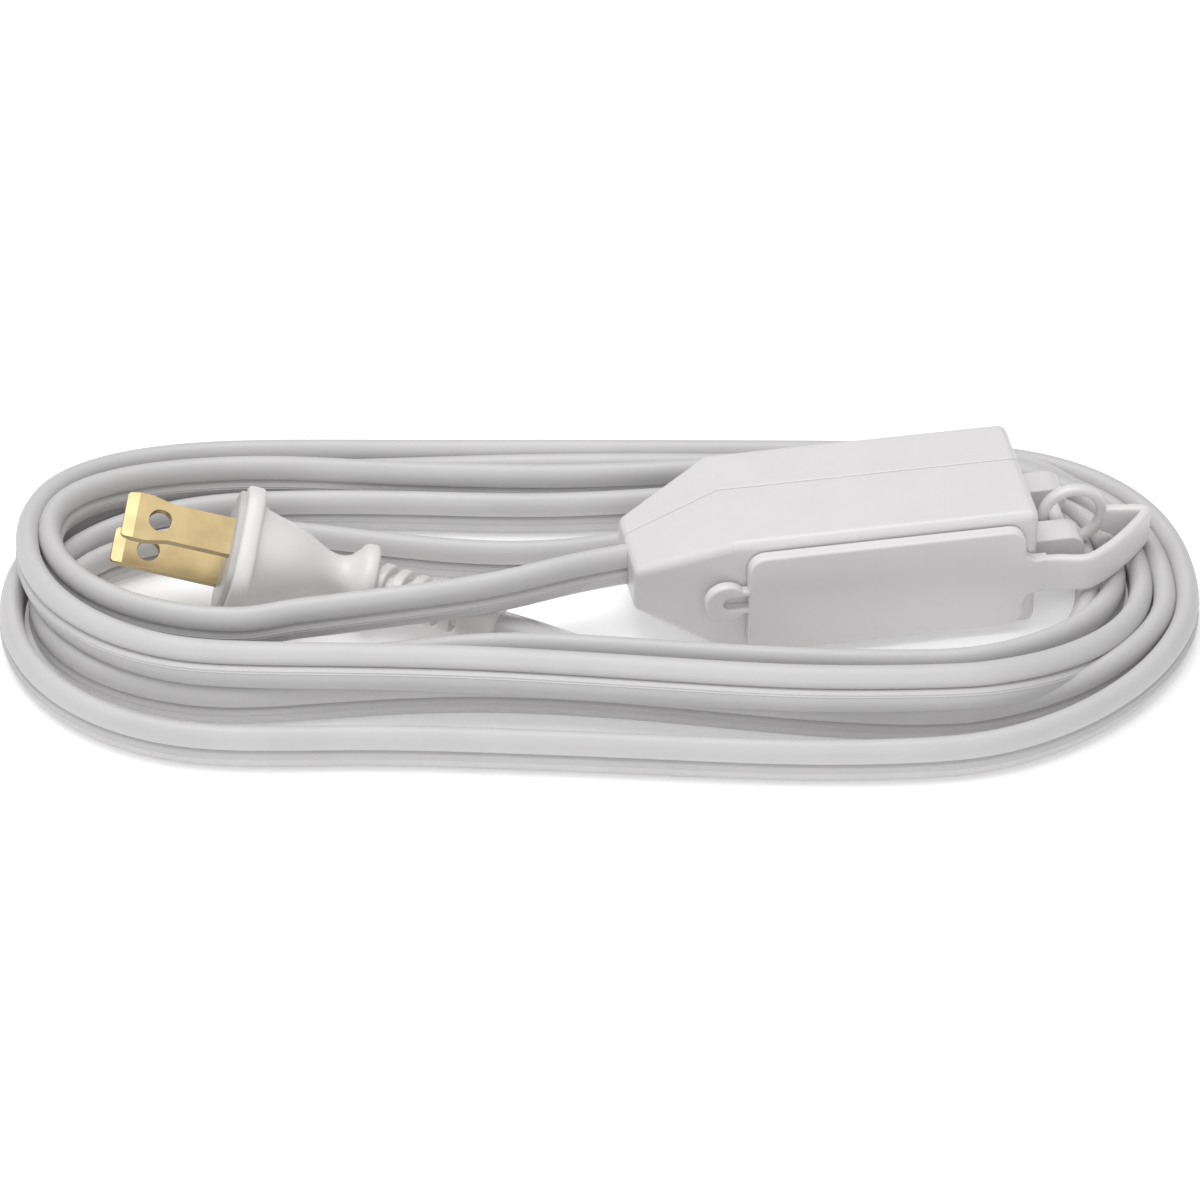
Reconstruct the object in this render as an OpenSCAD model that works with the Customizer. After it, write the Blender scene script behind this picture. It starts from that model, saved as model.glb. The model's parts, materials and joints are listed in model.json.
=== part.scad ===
// Household extension cord: polarised two-blade plug, flat twin cord wound in
// a flat coil, and a moulded outlet tap with a captive safety cover.
// Frame: X along the tap towards the cover strap, Y from the covered face to
// the rear face, Z up; the tap's underside rests on z = 0.

/* [Tap] */
// Length of the straight block of the tap
tap_len = 49.5; // [44:0.5:60]
// Depth of the tap from covered face to rear face
tap_depth = 25; // [22:0.5:32]
// Height of the tap
tap_height = 22; // [18:0.5:28]
// Length of the tapered nose at the cord end
nose_len = 15; // [10:0.5:22]
// Depth of the nose at its small end
nose_depth = 15; // [10:0.5:20]
// Height of the nose at its small end
nose_height = 8; // [8:0.5:14]
// Wall thickness of the two shells
wall = 2.2; // [1.6:0.1:3]
// Radius along the outer edges of the block
edge_r = 2.5; // [1:0.25:4]

/* [Outlets] */
// Distance between the two slots of an outlet
slot_pitch = 12.7; // [12.7:0.1:12.7]
// Width of every slot
slot_w = 2.1; // [1.8:0.1:2.6]
// Height of the line slots
line_slot_h = 7.2; // [6.8:0.1:7.6]
// Height of the taller neutral slots
neutral_slot_h = 8.8; // [8.4:0.1:9.4]
// Thickness of the contact metal
leaf_t = 0.6; // [0.4:0.05:0.9]

/* [Safety cover] */
// Length of the cover plate
cover_len = 44.9; // [40:0.1:47]
// Height of the cover plate
cover_h = 18.6; // [16:0.2:20]
// Thickness of the cover plate
cover_t = 1.9; // [1.4:0.1:3]
// Depth of the prongs that sit in the slots
prong_len = 5.2; // [3:0.2:8]
// How far the cover pulls out
cover_pull = 7; // [6:0.5:9]
// Height of the strap that holds the cover
strap_h = 6.6; // [4:0.2:6.6]
// Thickness of the strap
strap_t = 1.8; // [1.2:0.1:2.4]

/* [Plug] */
// Width of the plug's flange across the blades' width
flange_w = 20; // [16:0.5:26]
// Height of the plug's flange across both blades
flange_h = 21; // [18:0.5:28]
// Thickness of the flange
flange_t = 3; // [2:0.25:5]
// Length of each blade in front of the face plate
blade_len = 17.5; // [15.9:0.1:18.3]
// Thickness of the blades
blade_t = 1.5; // [1.4:0.05:1.65]
// Width of the line blade
line_blade_w = 6.35; // [6.2:0.05:6.6]
// Width of the neutral blade at its tip
neutral_blade_w = 7.9; // [7.7:0.05:8.1]
// Diameter of the hole in each blade
blade_hole_d = 3.6; // [3:0.1:4]
// Length of the ribbed strain relief
relief_len = 21.8; // [20:0.2:40]

/* [Cord] */
// Width of the flat twin cord
cord_w = 7.4; // [5:0.1:9]
// Thickness of the flat twin cord
cord_t = 3.7; // [2.5:0.1:4.5]
// Diameter of the bare copper conductor
copper_d = 1.5; // [1:0.1:2]
// Overall length of the coil
coil_len = 193; // [180:1:220]
// Overall depth of the coil
coil_depth = 85; // [78:1:110]
// Height of the lower layer of the coil
coil_low_h = 7.6; // [7.4:0.2:12]
// Height of the upper layer of the coil
coil_high_h = 13.6; // [11:0.2:20]
// Angle between the coil's long axis and the tap
coil_turn = 10; // [0:1:14]

/* [Hidden] */
$fn = 48;
eps = 0.02;
gap = 0.1;
// puts the origin midway between the strap and the tap's rear face
set_y = 1.5;
// tap stations along X, centred on the tap with its strap
tap_x1 = 22;
tap_x0 = tap_x1 - tap_len;
nose_x = tap_x0 - nose_len;
mid_z = tap_height / 2;
half_d = tap_depth / 2;
// depth at which the two shells meet
seam_y = 2.4;
cav_x0 = tap_x0 + wall;
cav_x1 = tap_x1 - wall;
cav_y = half_d - wall;
// slot stations: neutral, line, neutral, line
slot_mid = tap_x1 - tap_len / 2;
n_out = slot_mid - 1.5 * slot_pitch;
l_in = slot_mid - 0.5 * slot_pitch;
n_in = slot_mid + 0.5 * slot_pitch;
l_out = slot_mid + 1.5 * slot_pitch;
leaf_gap = 1.5;
leaf_end = 9.6;
leaf_top = 3.6;
lobe = cord_w / 4;
// cord end inside the nose
grip_x = nose_x + 2.5;
tail_x = nose_x + 8.5;
crimp_x0 = nose_x + 11;
crimp_x1 = nose_x + 18.2;
crimp_d = 3.2;
crimp_dz = 2.4;
// cover and strap
cover_gap = 0.3;
cover_y = -half_d - cover_gap;
cover_x1 = tap_x1 - 2.5;
cover_x0 = cover_x1 - cover_len;
tab_d = 6.9;
tab_slot = 2.4;
tab_x = cover_x0 - 3.5;
tab_z = mid_z + 1;
bar_x = 28;
bar_d = 2.4;
lug_w = 5;
lug_y = 4;
lug_r = 2.7;
eye_x = 30;
eye_y = -2.15;
eye_z = 13;
eye_d = 11.4;
eye_hole = 8.1;
strap_route = [[19.4, -13.75], [25, -14], [30, -14.6], [36, -10.4], [41.6, -4.2],
    [38, -2.9], [34.9, -2.2]];
// plug: local X runs from the blade face to the cord
plug_at = [-58.8, -3.2, 12.7];
plug_tilt = [29, 15.2, -1.1];
body_len = 23;
face_t = 1;
root_u = 4.5;
tail_u = 11;
join_u = 12.5;
relief_at = [-36.4, -3.3, 6.9];
relief_tilt = [60, 7.9, -18.4];
bell = [[3, 0], [3, 7.6], [6, 7.1], [10, 6.3], [13.2, 5], [15.8, 3.6], [15.8, 0]];
bell_oval = 1.3;
neck = [[15.7, 0], [15.7, 3.7], [17, 3.6], [18.5, 4], [20.1, 5.9], [21.5, 6.2],
    [23, 6.1], [23, 0]];
neck_oval = 1.15;
ribs = 5;
// coil: its own X runs along its length
coil_at = [-46, -4, 0];
coil_y0 = -48;
coil_hole = [[-85.4, -5], [-81, -11], [-73, -15.6], [-60, -17.6], [-40, -18.6],
    [-16, -18.8], [4, -20.6], [16, -23.4], [32, -23.4], [60, -21.4], [70, -17], [76, -9],
    [78, 4], [77.9, 11], [72, 17], [66.5, 20.8], [60, 21], [44, 19.2], [18, 14], [0, 6.4],
    [-10, 4.8], [-32, 6.4], [-57, 11.8], [-66, 15], [-76, 15.5], [-82, 13], [-86, 5]];
// centre lines of the tap's and the plug's leads in the coil's own frame, with
// the angle of the cord's wide side: 90 stands on edge, 180 lies flat
tap_route = [[4.1, -3.4, 11, 90], [-4, -6.1, 11.2, 90], [-12, -10, 11.7, 90],
    [-20, -13.2, 12.1, 90], [-28, -15.2, 12.3, 90], [-36, -16.5, 12, 90],
    [-44, -17.5, 11.5, 90], [-50, -18.3, 11.2, 90]];
plug_route = [[-36.4, -3.3, 6.9, 150], [-15.5, -10, 3.9, 150], [-10, -12.4, 3.6, 152],
    [-4, -15.6, 3.4, 158], [3, -19.4, 2.8, 168], [10, -23, 2.1, 178]];

function xyz(p) = [p[0], p[1], p[2]];
function ring3(p, d, n) =
    let (s = [-d[1], d[0], 0] / norm([d[0], d[1]]), c = cos(p[3]), v = sin(p[3]))
    [for (i = [0:n - 1]) xyz(p) + (s * c + [0, 0, v]) * (cord_w / 2) * cos(360 * i / n)
        + (s * -v + [0, 0, c]) * (cord_t / 2) * sin(360 * i / n)];
function way(r, i) = i == 0 ? r[1] - r[0] : i == len(r) - 1 ? r[i] - r[i - 1]
    : r[i + 1] - r[i - 1];

// one closed tube of oval section along a route
module tube(route, n = 10) {
    m = len(route);
    pts = [for (i = [0:m - 1]) each ring3(route[i], way(route, i), n)];
    sides = [for (i = [0:m - 2], j = [0:n - 1])
        [i * n + j, (i + 1) * n + j, (i + 1) * n + (j + 1) % n]];
    more = [for (i = [0:m - 2], j = [0:n - 1])
        [i * n + j, (i + 1) * n + (j + 1) % n, i * n + (j + 1) % n]];
    polyhedron(points = pts, faces = concat([[for (j = [0:n - 1]) j]], sides, more,
        [[for (j = [n - 1:-1:0]) (m - 1) * n + j]]), convexity = 4);
}

module placed() translate([0, set_y, 0]) children();
module in_coil() rotate([0, 0, -coil_turn]) translate(coil_at) children();
module in_plug() in_coil() translate(plug_at) rotate([0, 0, plug_tilt[2]])
    rotate([0, plug_tilt[1], 0]) rotate([plug_tilt[0], 0, 0]) children();
module in_relief() in_coil() translate(relief_at) rotate([0, 0, relief_tilt[2]])
    rotate([0, relief_tilt[1], 0]) rotate([relief_tilt[0], 0, 0]) children();

module box(a, b) translate(a) cube(b - a);
// cylinder along X from x0 to x1
module rod_x(x0, x1, d, y = 0, z = 0) translate([x0, y, z]) rotate([0, 90, 0])
    cylinder(d = d, h = x1 - x0);
module rod_y(y0, y1, d, x, z) translate([x, y0, z]) rotate([-90, 0, 0])
    cylinder(d = d, h = y1 - y0);

// rounded rectangle from exact squares and circles
module round_rect(w, h, r) {
    square([w - 2 * r, h], center = true);
    square([w, h - 2 * r], center = true);
    for (x = [-1, 1], y = [-1, 1]) translate([x * (w / 2 - r), y * (h / 2 - r)])
        circle(r = r);
}
module plate_x(x0, x1, wy, hz, r) translate([x0, 0, 0]) rotate([90, 0, 90])
    linear_extrude(x1 - x0) round_rect(wy, hz, r);
module plate_y(y0, y1, wx, hz, r) translate([0, y1, 0]) rotate([90, 0, 0])
    linear_extrude(y1 - y0) round_rect(wx, hz, r);

// side outline of the tap: tapered nose, block, rounded far end
module tap_profile(half, small, r) {
    polygon([[nose_x, -small], [tap_x0, -half], [tap_x1 - r, -half],
        [tap_x1 - r, half], [tap_x0, half], [nose_x, small]]);
    translate([tap_x1 - 2 * r, r - half]) square([2 * r, 2 * half - 2 * r]);
    for (s = [-1, 1]) translate([tap_x1 - r, s * (half - r)]) circle(r = r);
}
module tap_outer() intersection() {
    translate([0, 0, -1]) linear_extrude(tap_height + 2)
        tap_profile(half_d, nose_depth / 2, edge_r);
    translate([0, half_d + 1, mid_z]) rotate([90, 0, 0]) linear_extrude(tap_depth + 2)
        tap_profile(mid_z, nose_height / 2, edge_r);
    translate([0, 0, mid_z]) plate_x(nose_x - 1, tap_x1 + 1, tap_depth, tap_height, edge_r);
}
module tap_inside() {
    box([cav_x0, -cav_y, wall], [cav_x1, cav_y, tap_height - wall]);
    box([grip_x + 5, -5.6, mid_z - 5.8], [cav_x0 + 1, 5.6, mid_z + 5.8]);
    box([grip_x - gap, -4.1, mid_z - 4.6], [grip_x + 3 + gap, 4.1, mid_z + 4.6]);
    translate([0, 0, mid_z]) twin_x(nose_x - 1, grip_x + 6, 0.05);
}
// flat twin cord along X: two lobes joined by a web
module twin_x(x0, x1, more = 0) {
    for (s = [-1, 1]) rod_x(x0, x1, cord_t + 2 * more, 0, s * lobe);
    box([x0, -0.8 - more, -lobe], [x1, 0.8 + more, lobe]);
}
module lug(y0, y1) difference() {
    union() {
        box([tap_x1 - 1, y0, mid_z - lug_r], [bar_x, y1, mid_z + lug_r]);
        rod_y(y0, y1, 2 * lug_r, bar_x, mid_z);
    }
    rod_y(max(y0, -lug_y - 3), min(y1, lug_y + 3), bar_d + gap, bar_x, mid_z);
}
module slots(x, h, y0, y1) box([x - slot_w / 2, y0, mid_z - h / 2],
    [x + slot_w / 2, y1, mid_z + h / 2]);

module tap_shell_front() color("WhiteSmoke") {
    difference() {
        intersection() {
            tap_outer();
            box([nose_x - 5, -30, -5], [60, seam_y, 60]);
        }
        tap_inside();
        for (x = [n_out, n_in]) slots(x, neutral_slot_h, -half_d - 1, -cav_y + 1);
        for (x = [l_in, l_out]) slots(x, line_slot_h, -half_d - 1, -cav_y + 1);
    }
    lug(-lug_y - lug_w, -lug_y);
}
module tap_shell_rear() color("White") {
    difference() {
        intersection() {
            tap_outer();
            box([nose_x - 5, seam_y, -5], [60, 30, 60]);
        }
        tap_inside();
        slots(n_in, neutral_slot_h, cav_y - 1, half_d + 1);
        slots(l_in, line_slot_h, cav_y - 1, half_d + 1);
    }
    lug(lug_y, lug_y + lug_w);
}
module tether_bar() color("GhostWhite")
    rod_y(-lug_y - 3, lug_y + 3, bar_d, bar_x, mid_z);

// pair of spring leaves either side of a slot
module leaves(x, y1, z0, z1) for (s = [-1, 1])
    box([x + s * (leaf_gap + leaf_t) / 2 - leaf_t / 2, -leaf_end, z0],
        [x + s * (leaf_gap + leaf_t) / 2 + leaf_t / 2, y1, z1]);
module neutral_contact_strip() color("Goldenrod") {
    box([crimp_x1, -2.5, wall + 0.1], [n_in + 2.5, 2.5, wall + 0.1 + leaf_t]);
    leaves(n_out, 2.5, wall + 0.1, mid_z + leaf_top);
    leaves(n_in, leaf_end, wall + 0.1, mid_z + leaf_top);
}
module line_contact_strip() color("DarkGoldenrod") {
    top = tap_height - wall - 0.1;
    box([crimp_x1, -2.5, top - leaf_t], [l_out + 2.5, 2.5, top]);
    leaves(l_in, leaf_end, mid_z - leaf_top, top);
    leaves(l_out, 2.5, mid_z - leaf_top, top);
}
// crimp barrel with the tongue that meets its contact strip
module tap_crimp(s) translate([0, 0, mid_z]) {
    difference() {
        rod_x(crimp_x0, crimp_x1 - leaf_t, crimp_d, 0, s * crimp_dz);
        rod_x(crimp_x0 - 1, crimp_x1 - leaf_t + 1, copper_d + gap, 0, s * crimp_dz);
    }
    far = mid_z - wall - 0.1;
    box([crimp_x1 - leaf_t, -1.6, s > 0 ? 1.6 : -far], [crimp_x1, 1.6, s > 0 ? far : -1.6]);
}
module tap_crimp_neutral() color("Gold") tap_crimp(-1);
module tap_crimp_line() color("Gold") tap_crimp(1);
// bare ends of the two conductors in their crimps
module tap_copper(s) translate([0, 0, mid_z])
    rod_x(tail_x, crimp_x1 - leaf_t, copper_d, 0, s * crimp_dz);
module tap_copper_neutral() color("Chocolate") tap_copper(-1);
module tap_copper_line() color("Chocolate") tap_copper(1);
module tap_cord_tail() color("Snow") translate([0, 0, mid_z]) {
    twin_x(nose_x, grip_x + 5.1);
    for (s = [-1, 1]) difference() {
        rod_x(grip_x + 5.05, tail_x + 0.6, 3.4, 0, s * (crimp_dz + 0.1));
        rod_x(tail_x, tail_x + 2, copper_d + eps, 0, s * crimp_dz);
    }
}
module cord_grip() color("Gainsboro") difference() {
    box([grip_x, -4, mid_z - 4.5], [grip_x + 3, 4, mid_z + 4.5]);
    translate([0, 0, mid_z]) twin_x(grip_x - 1, grip_x + 4, 0.04);
}

module prong(x) box([x - 0.6, cover_y, mid_z - 2.8], [x + 0.6, cover_y + prong_len, mid_z + 2.8]);
module safety_cover() color("Ivory") {
    translate([(cover_x0 + cover_x1) / 2, 0, mid_z])
        plate_y(cover_y - cover_t, cover_y, cover_len, cover_h, 3);
    for (x = [n_out, l_in, n_in, l_out]) prong(x);
}
module pull_tab() color("Linen") difference() {
    union() {
        rod_y(cover_y - cover_t, cover_y - 0.3, tab_d, tab_x, tab_z);
        box([tab_x, cover_y - cover_t, tab_z - 2.2], [cover_x0, cover_y - 0.3, tab_z + 2.2]);
    }
    rod_y(cover_y - cover_t - 1, cover_y + 1, tab_slot, tab_x + 0.7, tab_z);
    box([tab_x + 0.7, cover_y - cover_t - 1, tab_z - tab_slot / 2],
        [cover_x0 + 1, cover_y + 1, tab_z + tab_slot / 2]);
}
module strap_2d() for (i = [0:len(strap_route) - 2]) {
    a = strap_route[i];
    d = strap_route[i + 1] - a;
    translate(a) rotate(atan2(d[1], d[0])) translate([0, -strap_t / 2])
        square([norm(d), strap_t]);
    if (i > 0) translate(a) circle(d = strap_t);
}
module cover_strap() color("OldLace") difference() {
    union() {
        translate([0, 0, mid_z - strap_h / 2]) linear_extrude(strap_h) difference() {
            strap_2d();
            translate([cover_x1 - 5, -20]) square([5, 10]);
        }
        rod_y(eye_y - 1, eye_y + 1, eye_d, eye_x, eye_z);
    }
    rod_y(eye_y - 1.5, eye_y + 1.5, eye_hole, eye_x, eye_z);
}

// oval body turned about local X, taller across the blades
module oval_x(stations, oval) scale([1, 1, oval]) rotate([0, 90, 0]) rotate_extrude()
    polygon([for (q = stations) [q[1], q[0]]]);
module plug_body() color("White") difference() {
    union() {
        plate_x(0, flange_t, flange_w, flange_h, 6);
        oval_x(bell, bell_oval);
        oval_x(neck, neck_oval);
    }
    box([-1, -4.9, -8.1], [3, 4.9, 8.1]);
    box([2, -3.8, -7.5], [6, 3.8, 7.5]);
    box([5, -2.3, -4.4], [join_u + gap, 2.3, 4.4]);
    twin_x(join_u - 1, body_len + 1, 0.05);
}
module plug_face_plate() color("Silver") difference() {
    plate_x(-face_t, 0, flange_w - 1.6, flange_h - 1.6, 5.4);
    for (s = [-1, 1]) translate([0, 0, s * slot_pitch / 2])
        box([-3, -3.55, -0.85], [3, 3.55, 0.85]);
}
module plug_core() color("DimGray") difference() {
    union() {
        box([0, -4.8, -8], [2.9, 4.8, 8]);
        box([2, -3.7, -7.4], [5.9, 3.7, 7.4]);
    }
    for (s = [-1, 1]) {
        translate([0, 0, s * slot_pitch / 2]) box([-1, -3.3, -0.8], [root_u, 3.3, 0.8]);
        translate([0, 0, s * slot_pitch / 4]) box([root_u - eps, -2, -4], [7, 2, 4]);
    }
}
// one blade: flat stock, chamfered tip, bevelled edges at the tip, hole
module blade(w0, w1) {
    tip = -face_t - blade_len;
    difference() {
        intersection() {
            translate([0, 0, -blade_t / 2]) linear_extrude(blade_t)
                polygon([[root_u, -3.1], [root_u, 3.1], [0, 3.1],
                    [-face_t - 0.5, w0 / 2], [tip + 7.5, w0 / 2], [tip + 4, w1 / 2],
                    [tip + 1, w1 / 2], [tip, w1 / 2 - 0.6], [tip, 0.6 - w1 / 2],
                    [tip + 1, -w1 / 2], [tip + 4, -w1 / 2], [tip + 7.5, -w0 / 2],
                    [-face_t - 0.5, -w0 / 2], [0, -3.1]]);
            translate([0, 10, 0]) rotate([90, 0, 0]) linear_extrude(20)
                polygon([[10, -1], [tip + 1.6, -blade_t / 2], [tip, -0.25], [tip, 0.25],
                    [tip + 1.6, blade_t / 2], [10, 1]]);
        }
        translate([tip + 5.8, 0, -2]) cylinder(d = blade_hole_d, h = 4);
    }
}
module neutral_blade() color("Gold") translate([0, 0, slot_pitch / 2])
    blade(line_blade_w, neutral_blade_w);
module line_blade() color("Gold") translate([0, 0, -slot_pitch / 2])
    blade(line_blade_w, line_blade_w);
// crimp barrel with the tongue that meets the blade's root
module plug_crimp(s) {
    box([root_u, -1.6, s > 0 ? 1.5 : -7.1], [root_u + leaf_t, 1.6, s > 0 ? 7.1 : -1.5]);
    difference() {
        rod_x(root_u + leaf_t, tail_u - 1.5, crimp_d, 0, s * crimp_dz);
        rod_x(root_u + leaf_t - 1, tail_u, copper_d + gap, 0, s * crimp_dz);
    }
}
module plug_copper(s) rod_x(root_u + leaf_t, tail_u, copper_d, 0, s * crimp_dz);
module plug_cord_tail() color("Snow") {
    twin_x(join_u, body_len);
    for (s = [-1, 1]) rod_x(tail_u, join_u + 0.05, 3.4, 0, s * (crimp_dz + 0.1));
}
// soft sleeve with cross ribs, tapering to a round end
module taper(half0, half1) polygon([[0, -half0], [0, half0], [relief_len - 2, half1],
    [relief_len, half1 - 0.9], [relief_len, 0.9 - half1], [relief_len - 2, -half1]]);
module sleeve(y0, y1, z0, z1) intersection() {
    translate([0, 0, -10]) linear_extrude(20) taper(y0, y1);
    translate([0, 10, 0]) rotate([90, 0, 0]) linear_extrude(20) taper(z0, z1);
    plate_x(0, relief_len, 2 * y0, 2 * z0, y0 - 0.1);
}
module plug_strain_relief() color("Snow") difference() {
    union() {
        sleeve(3.2, 2.9, 5.1, 4.7);
        intersection() {
            sleeve(3.9, 3.3, 5.8, 5.1);
            for (i = [0:ribs - 1]) box([1.6 + i * 3.3, -9, -9], [3.2 + i * 3.3, 9, 9]);
        }
    }
    for (s = [-1, 1]) rod_x(-1, relief_len + 1, cord_t + 0.2, 0, s * lobe);
    box([-1, -cord_t / 2 - 0.1, -lobe], [relief_len + 1, cord_t / 2 + 0.1, lobe]);
}

module coil_outline(inset, x1) intersection() {
    translate([0, coil_y0 + coil_depth / 2])
        round_rect(coil_len - 2 * inset, coil_depth - 2 * inset, coil_depth / 2 - inset - 1);
    translate([-200, -200]) square([200 + x1, 400]);
}
module cord_coil() color("Snow") in_coil() difference() {
    union() {
        linear_extrude(coil_low_h) coil_outline(0, 150);
        linear_extrude(coil_high_h) coil_outline(4, 66);
    }
    translate([0, 0, -1]) linear_extrude(40) polygon(coil_hole);
}
module tap_lead() color("Snow") in_coil() tube(tap_route);
module plug_lead() color("Snow") in_coil() tube(plug_route);

placed() tap_shell_front();
placed() tap_shell_rear();
placed() tether_bar();
placed() neutral_contact_strip();
placed() line_contact_strip();
placed() tap_crimp_neutral();
placed() tap_crimp_line();
placed() tap_copper_neutral();
placed() tap_copper_line();
placed() tap_cord_tail();
placed() cord_grip();
placed() safety_cover();
placed() pull_tab();
placed() cover_strap();
placed() in_plug() plug_body();
placed() in_plug() plug_face_plate();
placed() in_plug() plug_core();
placed() in_plug() neutral_blade();
placed() in_plug() line_blade();
placed() in_plug() color("Gold") plug_crimp(1);  // plug_crimp_neutral
placed() in_plug() color("Gold") plug_crimp(-1);  // plug_crimp_line
placed() in_plug() color("Chocolate") plug_copper(1);  // plug_copper_neutral
placed() in_plug() color("Chocolate") plug_copper(-1);  // plug_copper_line
placed() in_plug() plug_cord_tail();
placed() in_relief() plug_strain_relief();
placed() tap_lead();
placed() plug_lead();
placed() cord_coil();
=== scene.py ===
"""Household extension cord: coiled flat twin cord, two-blade plug and outlet tap with a cover."""

import json
import math

import bmesh
import bpy
from mathutils import Matrix, Vector

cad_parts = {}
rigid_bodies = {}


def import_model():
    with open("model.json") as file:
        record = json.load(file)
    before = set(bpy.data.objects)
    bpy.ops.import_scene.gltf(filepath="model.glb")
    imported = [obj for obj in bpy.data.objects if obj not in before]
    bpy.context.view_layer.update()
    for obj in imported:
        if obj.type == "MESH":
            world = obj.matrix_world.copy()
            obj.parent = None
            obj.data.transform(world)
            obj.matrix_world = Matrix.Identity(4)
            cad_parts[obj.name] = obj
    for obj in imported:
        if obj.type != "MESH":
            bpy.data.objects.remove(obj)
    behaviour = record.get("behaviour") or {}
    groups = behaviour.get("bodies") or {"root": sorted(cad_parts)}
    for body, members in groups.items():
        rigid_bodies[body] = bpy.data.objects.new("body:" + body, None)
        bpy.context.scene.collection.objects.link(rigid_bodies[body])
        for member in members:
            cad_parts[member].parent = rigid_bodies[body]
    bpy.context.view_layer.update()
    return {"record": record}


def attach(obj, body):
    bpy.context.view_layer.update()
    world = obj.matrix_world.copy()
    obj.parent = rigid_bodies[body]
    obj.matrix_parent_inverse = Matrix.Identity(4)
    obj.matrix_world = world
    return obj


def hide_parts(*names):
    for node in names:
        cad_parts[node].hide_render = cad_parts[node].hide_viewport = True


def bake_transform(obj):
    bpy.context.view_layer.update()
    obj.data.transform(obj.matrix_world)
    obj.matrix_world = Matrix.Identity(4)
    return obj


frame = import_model()
MM = 0.001
# bodies that move apart
BODY = "cord_set"
COVER = "cover"

# ---------------------------------------------------------------- frames

# the tap, the coil, the plug and its sleeve each have a frame of their own
TAP = Matrix.Translation((0, 0.0015, 0))
COIL = TAP @ Matrix.Rotation(math.radians(-10), 4, "Z") @ Matrix.Translation((-0.046, -0.004, 0))
PLUG_AT = Vector((-0.0588, -0.0032, 0.0127))
RELIEF_AT = Vector((-0.0364, -0.0033, 0.0069))
PLUG = (
    COIL
    @ Matrix.Translation(PLUG_AT)
    @ Matrix.Rotation(math.radians(-1.1), 4, "Z")
    @ Matrix.Rotation(math.radians(15.2), 4, "Y")
    @ Matrix.Rotation(math.radians(29), 4, "X")
)
RELIEF = (
    COIL
    @ Matrix.Translation(RELIEF_AT)
    @ Matrix.Rotation(math.radians(-18.4), 4, "Z")
    @ Matrix.Rotation(math.radians(7.9), 4, "Y")
    @ Matrix.Rotation(math.radians(60), 4, "X")
)

# ---------------------------------------------------------------- camera

VIEW_TILT = math.radians(38)
VIEW_DISTANCE = 0.95
VIEW_WIDTH = 0.1935


def set_camera():
    """Long lens looking at the coil square on, from above its near side."""
    data = bpy.data.cameras.new("camera")
    data.sensor_width = 36
    data.lens = 36 * VIEW_DISTANCE / VIEW_WIDTH
    data.clip_start = 0.01
    data.clip_end = 20
    camera = bpy.data.objects.new("camera", data)
    bpy.context.collection.objects.link(camera)
    aim = COIL @ Vector((0, 0, 0.001))
    away = COIL.to_3x3() @ Vector((0, -math.cos(VIEW_TILT), math.sin(VIEW_TILT)))
    camera.location = aim + away * VIEW_DISTANCE
    camera.rotation_euler = away.to_track_quat("Z", "Y").to_euler()
    bpy.context.scene.camera = camera


set_camera()

# ---------------------------------------------------------------- cord route

RING_STEP = 2.4 * MM
# section of the cord in millimetres: groove, the flats beside it, round outer edges
GROOVE_FLOOR = 0.95
GROOVE_HALF = 0.4
SHOULDER = 1.66
FLAT_X = 1.1
FLAT_HALF = 1.87
EDGE_SPAN = 2.6
# height and places of the two ridges that mark one conductor
RIDGE = 0.11
RIDGE_X = (0.84, 1.2)

# the leads outside the coil, in the coil's own frame: place and turn of the wide side
TAP_LEAD = [
    (4.1, -3.4, 11, 90),
    (-4, -6.1, 11.2, 90),
    (-12, -10, 11.7, 90),
    (-20, -13.2, 12.1, 90),
    (-28, -15.2, 12.3, 90),
    (-36, -16.5, 12, 90),
    (-44, -17.5, 11.5, 90),
    (-50, -18.3, 11.2, 90),
]
PLUG_LEAD = [
    (10, -23, 2.1, 2),
    (3, -19.4, 2.8, 12),
    (-4, -15.6, 3.4, 22),
    (-10, -12.4, 3.6, 28),
    (-15.5, -10, 3.9, 30),
    (-36.4, -3.3, 6.9, 30),
]
# stations of the straight runs along the coil
FRONT_X = (52, 32, 8, -16, -36, -56)
BACK_X = (-52, -32, -6, 30, 52)
# front runs from right to left: depth at each station, height at each, lean of the wide side
FRONT_RUNS = [
    ((-34.4, -35, -32.6, -30.2, -29.2, -28.9), (10.5, 10.8, 10.7, 10.7, 10.7, 10.7), 122),
    ((-43.2, -43.9, -42.4, -40.9, -40.1, -40.5), (3.7, 3.7, 3.7, 3.7, 3.7, 3.7), 90),
    ((-34.2, -32.9, -29.2, -26.9, -27.8, -30), (3.7, 3.7, 3.7, 3.7, 3.7, 3.7), 90),
    ((-25.8, -25.6, -23.6, -21.2, -21.2, -21.5), (7.2, 7.4, 7.6, 7.4, 4.6, 3.7), 90),
]
# back runs from left to right
BACK_RUNS = [
    ((24.6, 26, 27.3, 28.2, 28.6), (7.7, 5.4, 3.7, 6.5, 9.2), (90, 90, 90, 120, 180)),
    ((32.4, 34.2, 34.4, 34.2, 33.8), (5.2, 3.8, 3.7, 3.7, 3.7), (90, 90, 90, 90, 90)),
    ((28.4, 29.4, 30.7, 30.4, 30.1), (3.7, 3.7, 3.7, 3.7, 3.7), (90, 90, 90, 90, 90)),
    ((20.4, 20.4, 19.4, 23.8, 26.3), (3.7, 3.7, 3.7, 3.7, 3.7), (90, 90, 90, 90, 90)),
    ((12.6, 8.6, 6.4, 17.8, 22.4), (3.7, 3.7, 3.7, 3.7, 3.7), (90, 90, 90, 90, 90)),
]
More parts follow.
